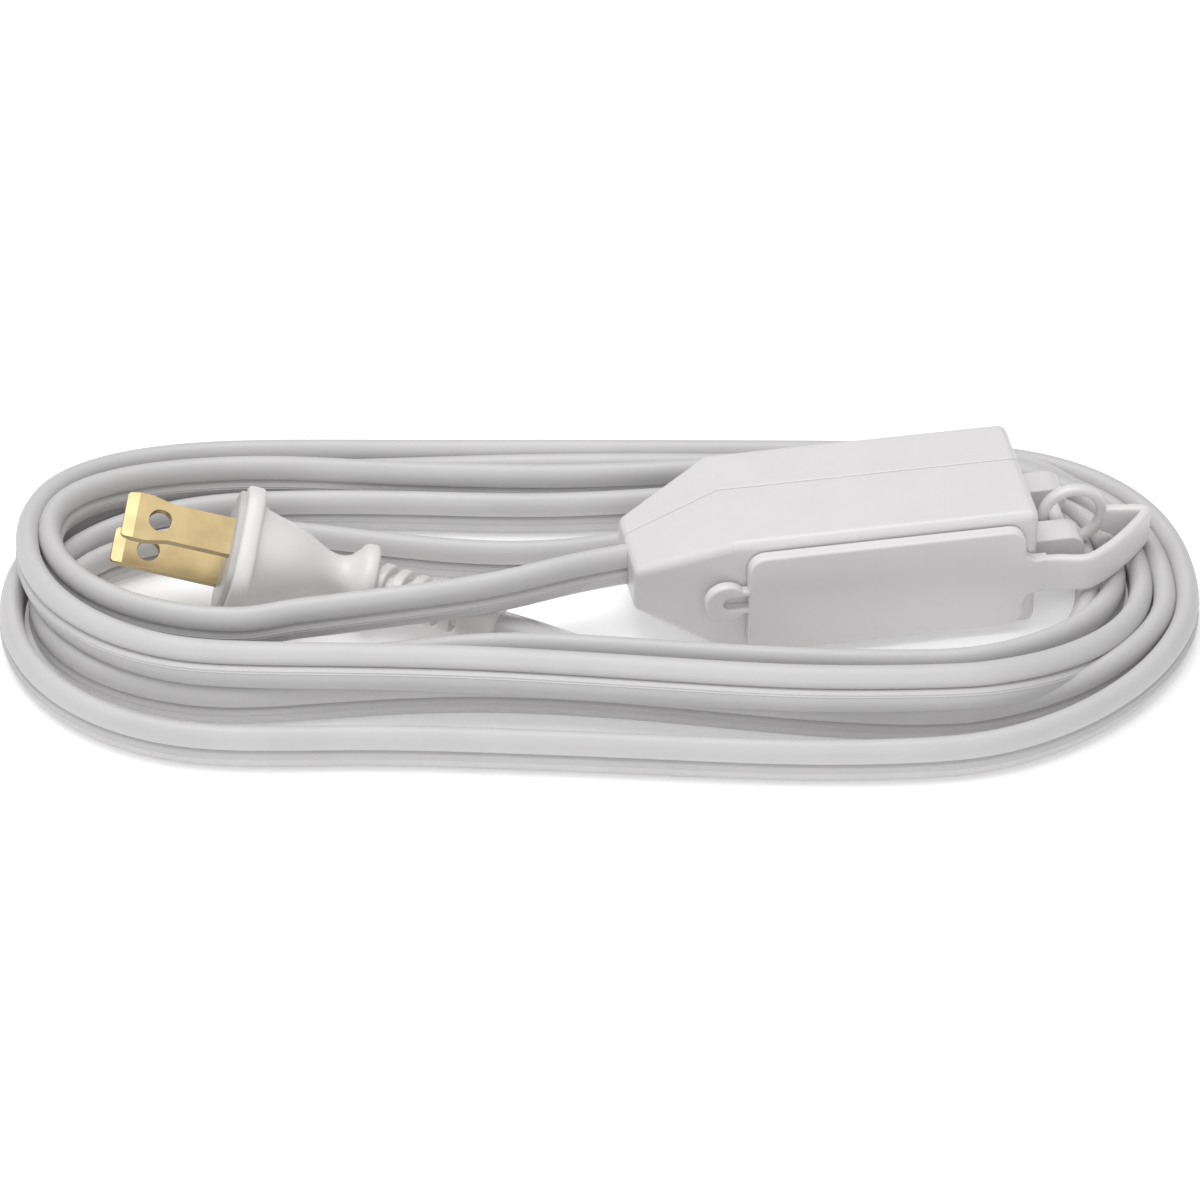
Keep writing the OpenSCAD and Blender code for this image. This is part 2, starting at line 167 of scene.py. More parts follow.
# turns at the left end: furthest point and height there, and at the right end
LEFT_TURNS = [(-88.6, 5, 11.1), (-92.1, 4, 11), (-94.4, -5, 3.7), (-89.9, -4, 3.7), (-85.5, -3, 3.7)]
RIGHT_TURNS = [(87.2, -2, 3.9), (94.4, -4, 3.7), (90.8, -4, 3.7), (83, 1, 3.7), (78.8, 2, 3.7)]
TURN_STEPS = (0.2, 0.4, 0.6, 0.8)
LEFT_FULLNESS = (2.05, 2.05)
RIGHT_FULLNESS = (2.4, 1.75)
LAST_FULLNESS = (2.4, 2.1)


def ease(t):
    """Smooth step from 0 to 1."""
    return t * t * (3 - 2 * t)


def quadrant(start, end, fullness, leaving):
    """Rounded quarter between a straight run and the furthest point of a turn."""
    x0, y0, z0, a0 = start
    x1, y1, z1, a1 = end
    points = []
    for t in TURN_STEPS:
        angle = t * math.pi / 2
        along, across = math.sin(angle) ** (2 / fullness), math.cos(angle) ** (2 / fullness)
        if not leaving:
            along, across = across, along
        x = x0 + (x1 - x0) * along if leaving else x1 + (x0 - x1) * along
        y = y1 + (y0 - y1) * across if leaving else y0 + (y1 - y0) * across
        k = ease(t)
        points.append((x, y, z0 + (z1 - z0) * k, a0 + (a1 - a0) * k))
    return points


def turn_points(start, peak, end, fullness):
    """One whole turn at an end of the coil, from the end of one run to the start of the next."""
    top = (*peak, 90)
    return [*quadrant(start, top, fullness[0], True), top, *quadrant(top, end, fullness[1], False)]


def cord_points():
    """Every guide point of the cord, from the tap to the plug."""
    points = list(TAP_LEAD) + [(-56, -20.1, 11.1, 90)]
    for k, (depths, heights, turns) in enumerate(BACK_RUNS):
        run = list(zip(BACK_X, depths, heights, turns))
        points += turn_points(points[-1], LEFT_TURNS[k], run[0], LEFT_FULLNESS)
        points += run
        if k < len(FRONT_RUNS):
            depths, heights, lean = FRONT_RUNS[k]
            front = [(x, y, z, lean) for x, y, z in zip(FRONT_X, depths, heights)]
        else:
            front = [(52, -24.6, 1.9, 0), (32, -26, 1.9, 0), (19, -25.6, 1.9, 0)]
        fullness = RIGHT_FULLNESS if k < len(FRONT_RUNS) else LAST_FULLNESS
        points += turn_points(points[-1], RIGHT_TURNS[k], front[0], fullness)
        points += front
    return points + list(PLUG_LEAD)


FINE_STEPS = 16
SMOOTHING = 60


def smooth_path(points, step):
    """Even steps along a smooth line through the guide points, and the line's length."""
    pts = [Vector((x * MM, y * MM, z * MM, math.radians(a))) for x, y, z, a in points]
    fine = []
    for i in range(len(pts) - 1):
        a, b = pts[i], pts[i + 1]
        before = pts[i - 1] if i else a + (a - b)
        after = pts[i + 2] if i + 2 < len(pts) else b + (b - a)
        length = (b - a).length
        ta = (b - before) * (length / ((b - a).length + (a - before).length))
        tb = (after - a) * (length / ((b - a).length + (after - b).length))
        for j in range(FINE_STEPS):
            t = j / FINE_STEPS
            t2, t3 = t * t, t * t * t
            fine.append(
                a * (2 * t3 - 3 * t2 + 1)
                + ta * (t3 - 2 * t2 + t)
                + b * (3 * t2 - 2 * t3)
                + tb * (t3 - t2)
            )
    fine.append(pts[-1])
    for _ in range(SMOOTHING):
        fine = [fine[0]] + [
            (fine[i - 1] + fine[i] * 2 + fine[i + 1]) / 4 for i in range(1, len(fine) - 1)
        ] + [fine[-1]]
    travel = [0.0]
    for a, b in zip(fine, fine[1:]):
        travel.append(travel[-1] + (b.xyz - a.xyz).length)
    count = round(travel[-1] / step)
    path = []
    i = 0
    for k in range(count + 1):
        want = travel[-1] * k / count
        while i < len(fine) - 2 and travel[i + 1] < want:
            i += 1
        t = (want - travel[i]) / max(travel[i + 1] - travel[i], 1e-9)
        path.append(fine[i].lerp(fine[i + 1], min(max(t, 0), 1)))
    return path, travel[-1]


def half_thickness(x):
    """Half thickness of the cord at a distance from its middle, in millimetres."""
    if x < GROOVE_HALF:
        return GROOVE_FLOOR + (SHOULDER - GROOVE_FLOOR) * (x / GROOVE_HALF) ** 0.7
    if x < FLAT_X:
        climb = math.sin((x - GROOVE_HALF) / (FLAT_X - GROOVE_HALF) * math.pi / 2)
        return SHOULDER + (FLAT_HALF - SHOULDER) * climb
    return FLAT_HALF * math.sqrt(max(1 - ((x - FLAT_X) / EDGE_SPAN) ** 1.95, 0))


def twin_profile():
    """Outline of the flat twin cord: narrow groove, flat lobes, two ridges on one lobe."""
    groove = [0.0, 0.12, 0.26, 0.4, 0.6]
    rim = [1.8, 2.3, 2.75, 3.1, 3.38, 3.57, 3.67]
    stations = groove + [0.85, 1.2] + rim
    ridged = groove + [0.72, 0.84, 0.96, 1.08, 1.2, 1.32, 1.44] + rim
    half_wide = FLAT_X + EDGE_SPAN
    plain = [(x, half_thickness(x)) for x in stations]
    proud = [(-x, half_thickness(x) + RIDGE * (x in RIDGE_X)) for x in ridged]
    top = [(half_wide, 0.0)] + plain[::-1] + proud[1:]
    bottom = [(-half_wide, 0.0)] + [(x, -t) for x, t in proud[::-1]]
    bottom += [(x, -t) for x, t in plain[1:]]
    return [(x * MM, t * MM) for x, t in top + bottom]


def keep(name, bm, body=BODY, nodes=(), place=None, crease=32, flat=False):
    """Makes a finished piece of a bmesh, in its place, tied to its body and CAD nodes."""
    mesh = bpy.data.meshes.new(name)
    bm.to_mesh(mesh)
    bm.free()
    if place:
        mesh.transform(place)
    mesh.shade_smooth()
    mesh.set_sharp_from_angle(angle=math.radians(crease))
    piece = bpy.data.objects.new(name, mesh)
    bpy.context.collection.objects.link(piece)
    if flat:
        piece.modifiers.new("flat_faces", "WEIGHTED_NORMAL").keep_sharp = True
    if body:
        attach(piece, body)
    if nodes:
        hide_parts(*nodes)
    return piece


def build_cord():
    """The whole free cord, from the tap's nose to the plug's strain relief."""
    path, length = smooth_path(cord_points(), RING_STEP)
    profile = twin_profile()
    sides = len(profile)
    rings = len(path)
    bm = bmesh.new()
    bmesh.ops.create_grid(bm, x_segments=sides, y_segments=rings - 1, size=0.5)
    up = Vector((0, 0, 1))
    places = []
    for i, p in enumerate(path):
        ahead = path[min(i + 1, rings - 1)].xyz - path[max(i - 1, 0)].xyz
        ahead.normalize()
        side = up.cross(ahead).normalized()
        lift = ahead.cross(side).normalized()
        wide = side * math.cos(p.w) + lift * math.sin(p.w)
        thin = lift * math.cos(p.w) - side * math.sin(p.w)
        places.append((p.xyz, wide, thin))
    for v in bm.verts:
        column = round((v.co.x + 0.5) * sides) % sides
        row = round((v.co.y + 0.5) * (rings - 1))
        middle, wide, thin = places[row]
        across, out = profile[column]
        v.co = COIL @ (middle + wide * across + thin * out)
        v.co.z = max(v.co.z, 0)
    bmesh.ops.remove_doubles(bm, verts=bm.verts, dist=1e-6)
    bmesh.ops.holes_fill(bm, edges=[e for e in bm.edges if e.is_boundary], sides=0)
    bmesh.ops.recalc_face_normals(bm, faces=bm.faces)
    nodes = ("tap_lead", "plug_lead", "cord_coil")
    piece = keep("flat_twin_cord", bm, nodes=nodes, crease=60)
    return piece, [COIL @ p.xyz for p in path], length


cord, cord_line, cord_length = build_cord()

# ---------------------------------------------------------------- shape helpers


def box_bm(low, high):
    """A bmesh box between two corners, in millimetres."""
    bm = bmesh.new()
    bmesh.ops.create_cube(bm, size=1)
    low, high = Vector(low) * MM, Vector(high) * MM
    for v in bm.verts:
        v.co = Vector(
            (low[i] + (v.co[i] + 0.5) * (high[i] - low[i]) for i in range(3))
        )
    return bm


def round_edges(bm, edges, radius, steps=4):
    """Rounds edges to a radius in millimetres."""
    bmesh.ops.bevel(
        bm,
        geom=list(edges),
        offset=radius * MM,
        offset_type="OFFSET",
        affect="EDGES",
        segments=steps,
        profile=0.5,
        material=-1,
        clamp_overlap=True,
    )


def along(edge, axis):
    """Whether an edge runs mostly along an axis."""
    d = (edge.verts[1].co - edge.verts[0].co).normalized()
    return abs(d[axis]) > 0.6


def join_bm(target, source, matrix=Matrix.Identity(4)):
    """Adds a second bmesh, placed by a matrix, to the first."""
    mesh = bpy.data.meshes.new("part")
    source.to_mesh(mesh)
    source.free()
    mesh.transform(matrix)
    target.from_mesh(mesh)
    bpy.data.meshes.remove(mesh)


def add_ring(bm, points):
    """One closed ring of edges through the points, given in metres."""
    made = bmesh.ops.create_circle(bm, segments=len(points), radius=1)["verts"]
    for v, point in zip(made, points):
        v.co = point
    return list({e for v in made for e in v.link_edges})


def skin(rings):
    """Closed body stretched over rings that have the same number of points."""
    bm = bmesh.new()
    hoops = [add_ring(bm, points) for points in rings]
    for a, b in zip(hoops, hoops[1:]):
        bmesh.ops.bridge_loops(bm, edges=a + b)
    bmesh.ops.edgeloop_fill(bm, edges=hoops[0])
    bmesh.ops.edgeloop_fill(bm, edges=hoops[-1])
    bmesh.ops.recalc_face_normals(bm, faces=bm.faces)
    return bm


def full_oval(x, wide, tall, fullness, sides):
    """Ring across local X: an oval at fullness 2, nearer a rectangle above it."""
    points = []
    for i in range(sides):
        t = 2 * math.pi * i / sides
        c, s = math.cos(t), math.sin(t)
        y = math.copysign(abs(c) ** (2 / fullness), c) * wide
        z = math.copysign(abs(s) ** (2 / fullness), s) * tall
        points.append(Vector((x, y, z)) * MM)
    return points


def loft(stations, sides=56):
    """Closed body along local X through stations: (x, half width, half height, fullness)."""
    return skin([full_oval(*station, sides) for station in stations])


# ---------------------------------------------------------------- tap

# the block between its two ends, then the tapered nose, in millimetres
TAP_X0, TAP_X1 = -27.5, 22
NOSE_X = TAP_X0 - 15
HALF_DEPTH = 12.5
TALL = 22
MID_Z = TALL / 2
NOSE_DEPTH, NOSE_TALL = 15, 8
SLOT_PITCH = 12.7
SLOT_MID = (TAP_X0 + TAP_X1) / 2
SLOT_WIDE = 2.1
NEUTRAL_TALL, LINE_TALL = 8.8, 7.2
FRONT_SLOTS = [
    (SLOT_MID - 1.5 * SLOT_PITCH, NEUTRAL_TALL),
    (SLOT_MID - 0.5 * SLOT_PITCH, LINE_TALL),
    (SLOT_MID + 0.5 * SLOT_PITCH, NEUTRAL_TALL),
    (SLOT_MID + 1.5 * SLOT_PITCH, LINE_TALL),
]
REAR_SLOTS = FRONT_SLOTS[1:3]
SLOT_DEEP = 9
BAR_X = 28
LUG_HALF = 2.7
LUG_NEAR, LUG_FAR = 4.0, 9.0
SEAM_Y = 2.4
SEAM_GAP = 0.04
SEAM_ROUND = 0.22
BLOCK_ROUND = 1.5
NOSE_ROUND = 0.9


def tap_block():
    """The whole tap as one soft-edged block with its tapered nose."""
    bm = box_bm((TAP_X0, -HALF_DEPTH, 0), (TAP_X1, HALF_DEPTH, TALL))
    end = min(bm.faces, key=lambda f: f.calc_center_median().x)
    made = bmesh.ops.extrude_face_region(bm, geom=[end])["geom"]
    for v in (g for g in made if isinstance(g, bmesh.types.BMVert)):
        v.co.x = NOSE_X * MM
        v.co.y *= NOSE_DEPTH / 2 / HALF_DEPTH
        v.co.z = MID_Z * MM + (v.co.z - MID_Z * MM) * NOSE_TALL / TALL
    if end.is_valid:
        bmesh.ops.delete(bm, geom=[end], context="FACES_ONLY")
    bm.edges.ensure_lookup_table()
    far = [e for e in bm.edges if min(v.co.x for v in e.verts) > (TAP_X1 - 0.1) * MM]
    long_edges = [e for e in bm.edges if along(e, 0)]
    round_edges(bm, far + long_edges, BLOCK_ROUND, 5)
    tip = [
        e
        for e in bm.edges
        if max(v.co.x for v in e.verts) < (NOSE_X + 0.1) * MM and len(e.link_faces) == 2
    ]
    round_edges(bm, tip, NOSE_ROUND, 5)
    bmesh.ops.recalc_face_normals(bm, faces=bm.faces)
    return bm


def cut_slots(bm, slots, sign):
    """Sinks the blade slots into the face that looks along sign times Y."""
    edge = sign * HALF_DEPTH * MM
    for x, tall in slots:
        half_x, half_z = SLOT_WIDE / 2, tall / 2
        for co, no in (
            ((x - half_x, 0, 0), (1, 0, 0)),
            ((x + half_x, 0, 0), (1, 0, 0)),
            ((0, 0, MID_Z - half_z), (0, 0, 1)),
            ((0, 0, MID_Z + half_z), (0, 0, 1)),
        ):
            bmesh.ops.bisect_plane(
                bm,
                geom=bm.verts[:] + bm.edges[:] + bm.faces[:],
                dist=1e-7,
                plane_co=Vector(co) * MM,
                plane_no=no,
            )
    for x, tall in slots:
        inside = []
        for f in bm.faces:
            c = f.calc_center_median() / MM
            if (
                abs(c.x - x) < SLOT_WIDE / 2
                and abs(c.z - MID_Z) < tall / 2
                and abs(c.y - edge / MM) < 0.05
            ):
                inside.append(f)
        made = bmesh.ops.extrude_face_region(bm, geom=inside)["geom"]
        for v in (g for g in made if isinstance(g, bmesh.types.BMVert)):
            v.co.y -= sign * SLOT_DEEP * MM
        bmesh.ops.delete(bm, geom=[f for f in inside if f.is_valid], context="FACES_ONLY")


def arc(x, z, radius, start, stop, steps=6):
    """Points of an arc in the XZ plane, angles in degrees."""
    turns = [math.radians(start + (stop - start) * i / steps) for i in range(steps + 1)]
    return [(x + radius * math.cos(t), z + radius * math.sin(t)) for t in turns]


def slab(outline, y0, y1, front_round, steps=3):
    """Plate between two depths with the given outline in XZ, its -Y rim rounded."""
    bm = bmesh.new()
    add_ring(bm, [Vector((x, y1, z)) * MM for x, z in outline])
    bmesh.ops.edgeloop_fill(bm, edges=bm.edges[:])
    made = bmesh.ops.extrude_face_region(bm, geom=bm.faces[:])["geom"]
    moved = [g for g in made if isinstance(g, bmesh.types.BMVert)]
    bmesh.ops.translate(bm, verts=moved, vec=Vector((0, y0 - y1, 0)) * MM)
    bmesh.ops.recalc_face_normals(bm, faces=bm.faces)
    rim = [e for e in bm.edges if all(abs(v.co.y - y0 * MM) < 1e-6 for v in e.verts)]
    round_edges(bm, rim, front_round, steps)
    return bm


def lug_bm(y0, y1):
    """End lug with a round nose that holds the tether bar."""
    outline = arc(BAR_X, MID_Z, LUG_HALF, -90, 90, 12)
    outline += [(TAP_X1 - 2, MID_Z + LUG_HALF), (TAP_X1 - 2, MID_Z - LUG_HALF)]
    return slab(outline, y0, y1, 0.4)


def tap_half(sign, slots):
    """One shell of the tap: half the block, its slots, its lug and a soft edge along the seam."""
    bm = tap_block()
    seam = (SEAM_Y + SEAM_GAP * sign) * MM
    cut = bmesh.ops.bisect_plane(
        bm,
        geom=bm.verts[:] + bm.edges[:] + bm.faces[:],
        dist=1e-7,
        plane_co=(0, seam, 0),
        plane_no=(0, sign, 0),
        clear_inner=True,
    )
    rim = [g for g in cut["geom_cut"] if isinstance(g, bmesh.types.BMEdge)]
    bmesh.ops.edgeloop_fill(bm, edges=rim)
    round_edges(bm, [e for e in rim if e.is_valid], SEAM_ROUND, 2)
    cut_slots(bm, slots, sign)
    y0, y1 = sorted((sign * LUG_NEAR, sign * LUG_FAR))
    join_bm(bm, lug_bm(y0, y1))
    bmesh.ops.recalc_face_normals(bm, faces=bm.faces)
    return bm


tap_front, tap_rear = [
    keep(name, tap_half(sign, slots), BODY, [node], TAP, 21, True)
    for name, sign, slots, node in (
        ("tap_front_shell", -1, FRONT_SLOTS, "tap_shell_front"),
        ("tap_rear_shell", 1, REAR_SLOTS, "tap_shell_rear"),
    )
]

# ---------------------------------------------------------------- safety cover

COVER_X1 = TAP_X1 - 2.5
COVER_X0 = COVER_X1 - 44.9
COVER_HALF = 9.3
COVER_BACK = -HALF_DEPTH - 0.3
COVER_THICK = 1.9
CORNER = 2.8
NECK_X = COVER_X1 + 3.6
NECK_HALF = 3.2
NECK_FILLET = 2
TAB_X = COVER_X0 - 3.5
TAB_Z = MID_Z + 1
TAB_RADIUS = 3.45
TAB_ARM = 2.2
TAB_SLOT = 2.4
PRONG_HALF, PRONG_TALL, PRONG_LONG = 0.6, 2.8, 5.2


def cover_outline():
    """Plate outline: round corners, and a neck with hollow shoulders where the strap starts."""
    high, low = MID_Z + COVER_HALF - CORNER, MID_Z - COVER_HALF + CORNER
    right, left = COVER_X1 - CORNER, COVER_X0 + CORNER
    bend = COVER_X1 + NECK_FILLET
    points = [(NECK_X, MID_Z + NECK_HALF)]
    points += arc(bend, MID_Z + NECK_HALF + NECK_FILLET, NECK_FILLET, 270, 180)
    points += arc(right, high, CORNER, 0, 90)
    points += arc(left, high, CORNER, 90, 180)
    points += arc(left, low, CORNER, 180, 270)
    points += arc(right, low, CORNER, 270, 360)
    points += arc(bend, MID_Z - NECK_HALF - NECK_FILLET, NECK_FILLET, 180, 90)
    return points + [(NECK_X, MID_Z - NECK_HALF)]


def build_cover():
    """Flat plate with round corners and a pair of prongs for each outlet."""
    bm = slab(cover_outline(), COVER_BACK - COVER_THICK, COVER_BACK, 0.45)
    for x, _ in FRONT_SLOTS:
        prong = box_bm(
            (x - PRONG_HALF, COVER_BACK - 0.2, MID_Z - PRONG_TALL),
            (x + PRONG_HALF, COVER_BACK + PRONG_LONG, MID_Z + PRONG_TALL),
        )
        tip = [e for e in prong.edges if all(v.co.y > (COVER_BACK + 5) * MM for v in e.verts)]
        round_edges(prong, tip, 0.4, 2)
        join_bm(bm, prong)
    return bm


def ring_bm(inner, outer, half_thick, sides=48):
    """Flat ring about local Y with round edges, spun from its section."""
    bm = bmesh.new()
    mid, half = (inner + outer) / 2, (outer - inner) / 2
    bmesh.ops.create_circle(bm, segments=16, radius=1)
    for v in bm.verts:
        c, s = v.co.x, v.co.y
        x = mid + math.copysign(abs(c) ** 0.75, c) * half
        y = math.copysign(abs(s) ** 0.6, s) * half_thick
        v.co = Vector((x, y, 0)) * MM
    bmesh.ops.spin(
        bm,
        geom=bm.edges[:] + bm.verts[:],
        cent=(0, 0, 0),
        axis=(0, 1, 0),
        angle=2 * math.pi,
        steps=sides,
        use_merge=True,
    )
    bmesh.ops.remove_doubles(bm, verts=bm.verts, dist=1e-6)
    bmesh.ops.recalc_face_normals(bm, faces=bm.faces)
    return bm


def build_pull_tab():
    """Round finger tab at the cover's cord end, with a slot that runs up to the cover."""
    end = COVER_X0 + 0.6
    lean = math.degrees(math.asin(TAB_ARM / TAB_RADIUS))
    outline = arc(TAB_X, TAB_Z, TAB_RADIUS, lean, 360 - lean, 30)
    outline += [(end, TAB_Z - TAB_ARM), (end, TAB_Z - TAB_SLOT / 2)]
    outline += arc(TAB_X + 0.7, TAB_Z, TAB_SLOT / 2, -90, -270, 12)
    outline += [(end, TAB_Z + TAB_SLOT / 2), (end, TAB_Z + TAB_ARM)]
    return slab(outline, COVER_BACK - COVER_THICK, COVER_BACK - 0.3, 0.42, 4)


STRAP_ROUTE = [(22, -13.75), (25, -14), (30, -14.6), (36, -10.4), (41.6, -4.2), (38, -2.9), (34.9, -2.2)]
STRAP_TALL = 6.4
STRAP_THICK = 1.8
STRAP_SIDES = 28
STRAP_TAPER = 14
EYE = (30, -2.15, 13)
EYE_ACROSS = 11.4
EYE_HOLE = 8.1


def strap_line():
    """Smooth middle line of the strap, seen from above."""
    guide = [Vector(point) for point in STRAP_ROUTE]
    line = []
    for i in range(len(guide) - 1):
        a, b = guide[i], guide[i + 1]
        before = guide[i - 1] if i else a - (b - a)
        after = guide[i + 2] if i + 2 < len(guide) else b + (b - a)
        for j in range(10):
            t = j / 10
            leave, arrive = (b - before) * 0.42, (after - a) * 0.42
            line.append(
                a * (2 * t**3 - 3 * t**2 + 1)
                + leave * (t**3 - 2 * t**2 + t)
                + b * (3 * t**2 - 2 * t**3)
                + arrive * (t**3 - t**2)
            )
    return line + [guide[-1]]


def build_strap():
    """Strap on edge from the cover round its fold and back to the eyelet on the bar."""
    line = strap_line()
    last = len(line) - 1
    rings = []
    for i, p in enumerate(line):
        ahead = (line[min(i + 1, last)] - line[max(i - 1, 0)]).normalized()
        side = Vector((-ahead.y, ahead.x))
        narrow = max(0, i - last + STRAP_TAPER)
        tall = STRAP_TALL / 2 - narrow * 0.07
        rise = narrow * 0.05
        points = []
        for k in range(STRAP_SIDES):
            t = 2 * math.pi * k / STRAP_SIDES
            c, s = math.cos(t), math.sin(t)
            across = math.copysign(abs(c) ** 0.5, c) * STRAP_THICK / 2
            up = math.copysign(abs(s) ** 0.3, s) * tall + rise
            points.append(Vector((p.x + side.x * across, p.y + side.y * across, MID_Z + up)) * MM)
        rings.append(points)
    bm = skin(rings)
    eye = ring_bm(EYE_HOLE / 2, EYE_ACROSS / 2, 1.0)
    join_bm(bm, eye, Matrix.Translation(Vector(EYE) * MM))
    return bm


cover_plate = keep("cover_plate", build_cover(), COVER, ["safety_cover"], TAP, 40, True)
cover_tab = keep("cover_pull_tab", build_pull_tab(), COVER, ["pull_tab"], TAP)
strap = keep("cover_tether_strap", build_strap(), None, ["cover_strap"], TAP, 45)
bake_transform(strap)

# ---------------------------------------------------------------- plug

FLANGE_FULL = 3.8


def build_plug_body():
    """Flange, oval bell, narrow waist and flared collar as one moulding."""
    stations = [
        (0.1, 9.2, 9.7, FLANGE_FULL),
        (0.15, 9.7, 10.2, FLANGE_FULL),
        (0.5, 10, 10.5, FLANGE_FULL),
        (2.4, 10, 10.5, FLANGE_FULL),
        (2.85, 9.8, 10.3, FLANGE_FULL),
        (3, 9.4, 9.95, FLANGE_FULL),
        (3.05, 8.4, 9.85, 3.2),
        (3.4, 7.8, 9.6, 2.8),
        (4.3, 7.45, 9.35, 2.5),
        (6, 7.1, 8.95, 2.35),
        (8, 6.75, 8.5, 2.25),
        (10, 6.2, 7.8, 2.2),
        (12, 5.45, 6.8, 2.15),
        (13.7, 4.6, 5.6, 2.1),
        (15.2, 3.95, 4.7, 2.1),
        (16.6, 3.65, 4.2, 2.1),
        (17.7, 3.7, 4.2, 2.1),
        (18.8, 4.1, 4.6, 2.1),
        (19.9, 5.1, 5.8, 2.2),
        (20.6, 5.95, 6.75, 2.3),
        (21.3, 6.25, 7.1, 2.3),
        (22.4, 6.3, 7.1, 2.3),
        (22.85, 6.1, 6.9, 2.3),
        (23, 5.6, 6.4, 2.3),
    ]
    return loft(stations, 72)


def build_wafer():
    """Grey semi-clear wafer between the flange and the blades."""
    return loft([(-1, 8.7, 9.2, 3.6), (-0.8, 9.1, 9.6, 3.6), (0.2, 9.1, 9.6, 3.6)], 72)


WAFER_THICK = 1
TIP_X = -WAFER_THICK - 17.5
LEAF = 0.75
ROOT_HALF = 6.35 / 2
NEUTRAL_HALF = 7.9 / 2
HOLE_ACROSS = 3.6
CHAMFER = 1.9


def build_blade(tip_half):
    """Blade folded from one strip: two leaves, a chamfered tip and a detent hole."""
    half = [
        (4.5, 3.1),
        (0, 3.1),
        (-WAFER_THICK - 0.5, ROOT_HALF),
        (TIP_X + 7.5, ROOT_HALF),
        (TIP_X + 4, tip_half),
        (TIP_X + CHAMFER, tip_half),
        (TIP_X + 0.45, tip_half - 0.15),
        (TIP_X, tip_half - 0.6),
    ]
    outline = half + [(x, -y) for x, y in reversed(half)]
    bm = bmesh.new()
    edges = add_ring(bm, [Vector((x, y, 0)) * MM for x, y in outline])
    hole = bmesh.ops.create_circle(bm, segments=32, radius=HOLE_ACROSS / 2 * MM)["verts"]
    bmesh.ops.translate(bm, verts=hole, vec=Vector((TIP_X + 5.8, 0, 0)) * MM)
    edges += list({e for v in hole for e in v.link_edges})
    bmesh.ops.triangle_fill(bm, use_beauty=True, edges=edges)
    bmesh.ops.bisect_plane(
        bm,
        geom=bm.verts[:] + bm.edges[:] + bm.faces[:],
        dist=1e-7,
        plane_co=Vector((TIP_X + CHAMFER, 0, 0)) * MM,
        plane_no=(1, 0, 0),
    )
    made = bmesh.ops.extrude_face_region(bm, geom=bm.faces[:])["geom"]
    for v in (g for g in made if isinstance(g, bmesh.types.BMVert)):
        x = v.co.x / MM
        slope = min(max((x - TIP_X) / CHAMFER, 0), 1)
        v.co.z = (0.25 + (LEAF - 0.25) * slope) * MM
    bmesh.ops.recalc_face_normals(bm, faces=bm.faces)
    rims = [e for e in bm.edges if e.is_manifold and e.calc_face_angle(0) > 1]
    fold = [
        e
        for e in rims
        if all(v.co.y > ROOT_HALF * 0.97 * MM and v.co.z > 0.2 * MM for v in e.verts)
        and along(e, 0)
    ]
    seam = [e for e in rims if all(v.co.z < 0.01 * MM for v in e.verts) and e.verts[0].co.y < 3 * MM]
    rest = [e for e in rims if e not in fold and e not in seam and not along(e, 2)]
    rest = [e for e in rest if all(v.co.z > 0.1 * MM for v in e.verts)]
    round_edges(bm, rest + seam, 0.09, 2)
    both = bmesh.new()
    join_bm(both, bm.copy())
    join_bm(both, bm, Matrix.Scale(-1, 4, (0, 0, 1)))
    bmesh.ops.recalc_face_normals(both, faces=both.faces)
    return both


RELIEF_LONG = 21.8
RIB_COUNT = 5
RIB_PITCH = 2.95
RIB_START = 1.0
RIB_WIDE = 1.7
SLOT_SUNK = 1.3


def build_relief():
    """Soft ribbed sleeve that tapers from the plug's collar to a round end."""
    stations = []

    def station(x, sunk):
        """One section of the tapering sleeve, sunk below its outer surface."""
        k = x / RELIEF_LONG
        stations.append((x, 3.75 - 0.45 * k - sunk, 5.6 - 0.5 * k - sunk, 2.7))

    station(-1.5, 0.4)
    for i in range(RIB_COUNT):
        start = RIB_START + i * RIB_PITCH
        station(start - 0.02, SLOT_SUNK)
        station(start, 0.2)
        station(start + 0.2, 0)
        station(start + RIB_WIDE - 0.2, 0)
        station(start + RIB_WIDE, 0.2)
        station(start + RIB_WIDE + 0.02, SLOT_SUNK)
    cap = RIB_START + RIB_COUNT * RIB_PITCH
    station(cap - 0.02, SLOT_SUNK)
    station(cap, 0.2)
    station(cap + 0.2, 0)
    station(RELIEF_LONG - 1.6, 0)
    station(RELIEF_LONG - 0.8, 0.25)
    station(RELIEF_LONG - 0.25, 0.7)
    station(RELIEF_LONG, 1.25)
    return loft(stations, 48)


plug_pieces = [
    keep("plug_moulding", build_plug_body(), nodes=["plug_body"], place=PLUG, crease=50),
    keep("plug_wafer", build_wafer(), nodes=["plug_face_plate"], place=PLUG, crease=50),
]
for name, tip_half, lift, node in (
    ("neutral_blade_folded", NEUTRAL_HALF, SLOT_PITCH / 2, "neutral_blade"),
    ("line_blade_folded", ROOT_HALF, -SLOT_PITCH / 2, "line_blade"),
):
    spot = PLUG @ Matrix.Translation((0, 0, lift * MM))
    plug_pieces.append(keep(name, build_blade(tip_half), BODY, [node], spot, 9, True))
plug_pieces.append(
    keep(
        "plug_ribbed_relief",
        build_relief(),
        nodes=["plug_strain_relief"],
        place=RELIEF,
        crease=38,
    )
)
PLUG_INSIDE = ["plug_core", "plug_crimp_neutral", "plug_crimp_line"]
PLUG_INSIDE += ["plug_copper_neutral", "plug_copper_line", "plug_cord_tail"]
plug_pieces += [bpy.data.objects[name] for name in PLUG_INSIDE]

# ---------------------------------------------------------------- materials


